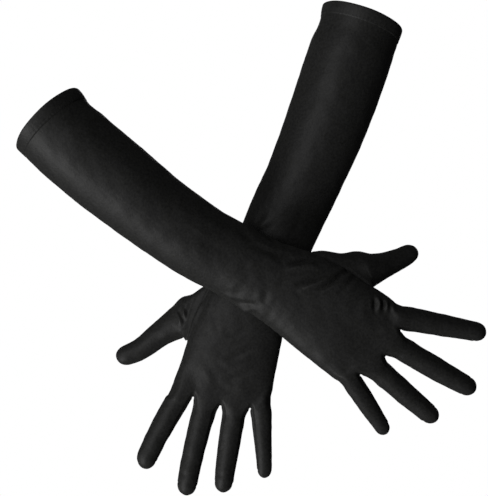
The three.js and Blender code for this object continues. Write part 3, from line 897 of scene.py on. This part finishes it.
def cloth_piece(name, surface, cloths):
    """The stated cloths of a surface as one closed piece: an outside, an inside and a cut edge."""
    chosen = np.isin(surface["cloths"], [surface["names"].index(c) for c in cloths])
    used, faces = np.unique(surface["faces"][chosen], return_inverse=True)
    faces = faces.reshape(-1, 4)
    outside, normals = surface["points"][used], surface["normals"][used]
    count = len(used)
    rim = rim_edges(faces)
    walls = np.stack([rim[:, 1], rim[:, 0], rim[:, 0] + count, rim[:, 1] + count], 1)
    all_faces = np.vstack([faces, faces[:, ::-1] + count, walls])
    outer_map = surface["map"][chosen]
    rim_map = np.zeros((len(walls), 4, 2), np.float32)
    mapping = np.concatenate([outer_map, outer_map[:, ::-1], rim_map])
    points = np.vstack([outside, outside - normals * CLOTH])
    return add_mesh(name, points, all_faces, SATIN, np.vstack([normals, -normals]), mapping)


def declare(piece, body, slot, *nodes):
    """Hides the nodes that a piece takes the place of, and lets the body carry it if one is given. The slot
    is not used.
    """
    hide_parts(*nodes)
    if body:
        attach(piece, body)


def glove_pieces(name, surface):
    """The hand's cloths, which the glove's body carries, and the stalls, which no body carries."""
    glove_body = f"{name}_glove"
    for part in ("back_panel", "palm_panel", "thumb_gusset"):
        piece = cloth_piece(f"{name}_{part}_cloth", surface, [part])
        declare(piece, glove_body, "satin", f"{name}_{part}")
    for finger_name in (*FINGER_NAMES, "thumb"):
        if finger_name == "thumb":
            parts = {"thumb": ["thumb_outer", "thumb_inner"]}
        else:
            parts = {c: [c] for c in surface["names"] if c.startswith(finger_name + "_")}
        for part, cloths in parts.items():
            piece = cloth_piece(f"{name}_{part}_cloth", surface, cloths)
            declare(piece, None, "satin", f"{name}_{part}")
            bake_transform(piece)


# ---- Hem and stitching ---------------------------------------------------------------------------
def hem_profile():
    """The folded hem's section as (distance from the mouth, height off the panel), going round it."""
    top, low = HEM_PROUD, -2 * CLOTH - HEM_GAP
    middle, half = (top + low) / 2, (top - low) / 2
    lip = [(half - half * math.sin(a), middle + half * math.cos(a)) for a in np.linspace(0, math.pi, 9)]
    flat = np.linspace(HEM_DEPTH, half + 1, 8)
    crown = [(d, top + HEM_CROWN * math.sin(math.pi * (d - half) / (HEM_DEPTH - half))) for d in flat]
    inner = [(d, low) for d in np.linspace(half + 1, HEM_DEPTH, 6)]
    cut = [(HEM_DEPTH + 0.25, middle)]
    return crown + lip + inner + cut


def swept(arm, profile, columns, wave):
    """A closed section swept round the arm, as points and faces."""
    points = []
    for k in range(columns):
        turn = 2 * math.pi * k / columns
        points += [arm_point(arm, along, turn, out + wave(turn, along)) for along, out in profile]
    count = len(profile)
    faces = []
    for k in range(columns):
        n = (k + 1) % columns
        for i in range(count):
            j = (i + 1) % count
            faces.append((k * count + i, k * count + j, n * count + j, n * count + i))
    return np.array(points), faces


def outward(points, faces):
    """The faces turned so that the closed body's volume is positive."""
    faces = np.asarray(faces)
    a, b, c, d = (points[faces[:, corner]] for corner in range(4))
    volume = np.sum(a * (np.cross(b, c) + np.cross(c, d)))
    return faces if volume > 0 else faces[:, ::-1]


def hem_wave(seed):
    """The hem's unevenness: it sags at the mouth, and it is dented and rucked along its stitches."""

    def wave(turn, along):
        sag = HEM_SAG[0] * math.sin(3 * turn + seed) + HEM_SAG[1] * math.sin(7 * turn + 2 * seed)
        dent = -HEM_DENT * math.exp(-(((along - STITCH_LINE) / 0.7) ** 2))
        near = math.exp(-(((along - HEM_DEPTH + 1) / 3) ** 2))
        ruck = HEM_RUCK * math.sin(turn * 64 + 3 * math.sin(5 * turn)) * near
        return sag * max(1 - along / 14, 0) + dent + ruck

    return wave


def stitch_tree():
    """Geometry Nodes: a row of stitches, each a short rounded thread, along the edges of a mesh line."""
    tree = bpy.data.node_groups.new("stitch_row", "GeometryNodeTree")
    face = tree.interface
    face.new_socket("Line", in_out="INPUT", socket_type="NodeSocketGeometry")
    for label, value in (("Spacing", 0.0026), ("Stitch Length", 0.0019), ("Thread Radius", 0.0002)):
        face.new_socket(label, in_out="INPUT", socket_type="NodeSocketFloat").default_value = value
    face.new_socket("Seed", in_out="INPUT", socket_type="NodeSocketInt").default_value = 5
    face.new_socket("Thread", in_out="INPUT", socket_type="NodeSocketMaterial")
    face.new_socket("Stitches", in_out="OUTPUT", socket_type="NodeSocketGeometry")
    given = node(tree, "NodeGroupInput").outputs
    curve = node(tree, "GeometryNodeMeshToCurve", {"Mesh": given["Line"]}).outputs[0]
    path = {"Curve": curve, "Length": given["Spacing"]}
    spots = node(tree, "GeometryNodeCurveToPoints", path, mode="LENGTH")
    ball = node(tree, "GeometryNodeMeshUVSphere", Segments=8, Rings=6, Radius=1.0)
    long = node(tree, "ShaderNodeMath", {0: given["Stitch Length"]}, operation="MULTIPLY")
    long.inputs[1].default_value = 0.5
    radius = given["Thread Radius"]
    size = node(tree, "ShaderNodeCombineXYZ", {"X": radius, "Y": radius, "Z": long.outputs[0]})
    long_ball = {"Geometry": ball.outputs["Mesh"], "Scale": size.outputs[0]}
    shaped = node(tree, "GeometryNodeTransform", long_ball)
    vary = node(tree, "FunctionNodeRandomValue", {"Seed": given["Seed"]}, data_type="FLOAT")
    vary.inputs[2].default_value = 0.85
    vary.inputs[3].default_value = 1.08
    where = {"Points": spots.outputs["Points"], "Rotation": spots.outputs["Rotation"]}
    what = {"Instance": shaped.outputs["Geometry"], "Scale": vary.outputs[1]}
    placed = node(tree, "GeometryNodeInstanceOnPoints", {**where, **what})
    real = node(tree, "GeometryNodeRealizeInstances", {"Geometry": placed.outputs["Instances"]})
    soft = node(tree, "GeometryNodeSetShadeSmooth", {"Geometry": real.outputs["Geometry"]})
    finish = {"Geometry": soft.outputs["Geometry"], "Material": given["Thread"]}
    done = node(tree, "GeometryNodeSetMaterial", finish)
    node(tree, "NodeGroupOutput", {"Stitches": done.outputs["Geometry"]})
    return tree


STITCHES = stitch_tree()


def stitch_row(name, line, closed):
    """Stitches along a line of points in millimetres, as one plain mesh piece."""
    count = len(line)
    edges = [(i, i + 1) for i in range(count - 1)] + ([(count - 1, 0)] if closed else [])
    mesh = bpy.data.meshes.new(name + "_line")
    mesh.from_pydata((np.asarray(line) * MM).tolist(), edges, [])
    guide = bpy.data.objects.new(name + "_line", mesh)
    bpy.context.scene.collection.objects.link(guide)
    modifier = guide.modifiers.new("stitches", "NODES")
    modifier.node_group = STITCHES
    for item in STITCHES.interface.items_tree:
        if item.name == "Thread":
            modifier[item.identifier] = THREAD
    evaluated = guide.evaluated_get(bpy.context.evaluated_depsgraph_get())
    made = bpy.data.meshes.new_from_object(evaluated)
    bpy.data.objects.remove(guide)
    made.name = name
    piece = bpy.data.objects.new(name, made)
    bpy.context.scene.collection.objects.link(piece)
    return piece


def hem_pieces(name, arm):
    """The folded band round the mouth and the row of stitches that holds it."""
    wave = hem_wave({"left": 1.0, "right": 2.4}[name])
    points, faces = swept(arm, hem_profile(), HEM_COLUMNS, wave)
    band = add_mesh(f"{name}_hem_cloth", points, outward(points, faces), SATIN)
    declare(band, f"{name}_glove", "satin", f"{name}_hem")
    turns = [2 * math.pi * k / STITCH_LINE_POINTS for k in range(STITCH_LINE_POINTS)]
    proud = HEM_PROUD + 0.16  # a stitch lies on the hem, half sunk in
    line = [arm_point(arm, STITCH_LINE, turn, proud + wave(turn, STITCH_LINE)) for turn in turns]
    row = stitch_row(f"{name}_hem_stitches", line, True)
    declare(row, f"{name}_glove", "thread", f"{name}_hem_stitching")


def seam_line(surface, first, second):
    """The points where two groups of cloths meet."""
    groups = [[surface["names"].index(cloth) for cloth in group] for group in (first, second)]
    return np.intersect1d(*[surface["faces"][np.isin(surface["cloths"], group)] for group in groups])


def side_seams(name, surface):
    """Stitches behind the two side seams, and behind the seam between the gusset and the thumb."""
    arm = surface["arm"]
    both = seam_line(surface, {"back_panel"}, {"palm_panel"})
    along = surface["along"][both]
    points, normals = surface["points"][both], surface["normals"][both]
    thumbward = np.array([arm_at(arm, min(v, arm["length"]))[1] for v in along])
    centres = np.array([arm_at(arm, min(v, arm["length"]))[0] for v in along])
    side = np.einsum("ij,ij->i", points - centres, thumbward) > 0
    hole = arm["length"] - arm["glove"]["thumb"]["hole"][0]
    for label, chosen, end in (("thumb", side, hole), ("little", ~side, math.inf)):
        chosen = chosen & (along > HEM_DEPTH + 2) & (along < end)
        line = (points[chosen] - normals[chosen] * SEAM_THREAD_DEPTH)[np.argsort(along[chosen])]
        row = stitch_row(f"{name}_{label}_side_stitches", line, False)
        declare(row, f"{name}_glove", "thread", f"{name}_{label}_side_thread")
    ring = seam_line(surface, {"thumb_gusset"}, {"thumb_outer", "thumb_inner"})
    limb = surface["limbs"]["thumb"]
    centre = surface["points"][ring].mean(axis=0)
    offset = surface["points"][ring] - centre
    u = unit(offset[0] - limb["ahead"] * np.dot(offset[0], limb["ahead"]))
    v = np.cross(limb["ahead"], u)
    order = np.argsort(np.arctan2(offset @ v, offset @ u))
    line = (surface["points"][ring] - surface["normals"][ring] * SEAM_THREAD_DEPTH)[order]
    row = stitch_row(f"{name}_thumb_seam_stitches", line, True)
    declare(row, f"{name}_glove", "thread", f"{name}_thumb_seam_thread")


# ---- The pair ------------------------------------------------------------------------------------
def make_glove(name):
    """One glove: its surface with folds and seams, cut into pieces, then the hem and the stitching."""
    arm = make_arm(GLOVES[name])
    surface = smooth_surface(arm)
    surface["seam"] = seam_distance(surface)
    surface["along"] = distance_along(surface)
    crumple(name, surface)
    surface["normals"] = normals_of(surface)
    glove_pieces(name, surface)
    hem_pieces(name, arm)
    side_seams(name, surface)


for glove_name in GLOVES:
    make_glove(glove_name)


# ---- Stage ---------------------------------------------------------------------------------------
EYE = Vector((-0.0988, -2.287, -0.1909))
LENS, SENSOR = 200, 36
FLOOR_DROP = 3.2
FLOOR_RADIUS = 3.3
AMBIENT = 0.03  # the surround's light on the gloves


def aim(obj, target):
    obj.rotation_euler = (Vector(target) - obj.location).to_track_quat("-Z", "Y").to_euler()


def softbox(name, location, width, height, power):
    light = bpy.data.lights.new(name, "AREA")
    light.shape = "RECTANGLE"
    light.size, light.size_y, light.energy = width, height, power
    obj = bpy.data.objects.new(name, light)
    obj.location = location
    aim(obj, (EYE.x, 0, EYE.z))
    bpy.context.scene.collection.objects.link(obj)


def place_camera():
    camera = bpy.data.cameras.new("camera")
    camera.lens, camera.sensor_width = LENS, SENSOR
    camera.clip_end = 50
    eye = bpy.data.objects.new("camera", camera)
    eye.location = EYE
    eye.rotation_euler = (math.radians(90), 0, 0)
    bpy.context.scene.collection.objects.link(eye)
    bpy.context.scene.camera = eye


def lay_floor():
    """Matt white paper, so that nothing but the gloves catches the eye."""
    place = (EYE.x, 0, -FLOOR_DROP)
    bpy.ops.mesh.primitive_circle_add(vertices=96, radius=FLOOR_RADIUS, fill_type="NGON", location=place)
    floor = bpy.context.object
    floor.name = "pale_floor"
    paper = bpy.data.materials.new("matt_pale_paper")
    paper.use_nodes = True
    matt = paper.node_tree.nodes["Principled BSDF"].inputs
    matt["Base Color"].default_value = linear("#e9e9e7")
    matt["Roughness"].default_value = 0.9
    floor.data.materials.append(paper)


def surround():
    """White to the camera, and almost dark to the gloves, which the softboxes light."""
    world = bpy.data.worlds.new("white_surround")
    world.use_nodes = True
    tree = world.node_tree
    seen = node(tree, "ShaderNodeLightPath")
    dim = tree.nodes["Background"]
    dim.inputs["Color"].default_value = linear("#ffffff")
    dim.inputs["Strength"].default_value = AMBIENT
    white = node(tree, "ShaderNodeBackground", Strength=1.0, Color=linear("#ffffff"))
    sides = {0: seen.outputs["Is Camera Ray"], 1: dim.outputs[0], 2: white.outputs[0]}
    mix = node(tree, "ShaderNodeMixShader", sides)
    tree.links.new(mix.outputs[0], tree.nodes["World Output"].inputs["Surface"])
    bpy.context.scene.world = world


place_camera()
bpy.context.scene.view_settings.view_transform = "Standard"
lay_floor()
surround()
softbox("key", (-1.9, -1.2, -1.6), 1.5, 1.5, 53)
softbox("fill", (-1.3, -2.2, 0.3), 1.1, 1.1, 18)
softbox("back", (-0.1, 2.9, 0.1), 1.5, 1.5, 7)
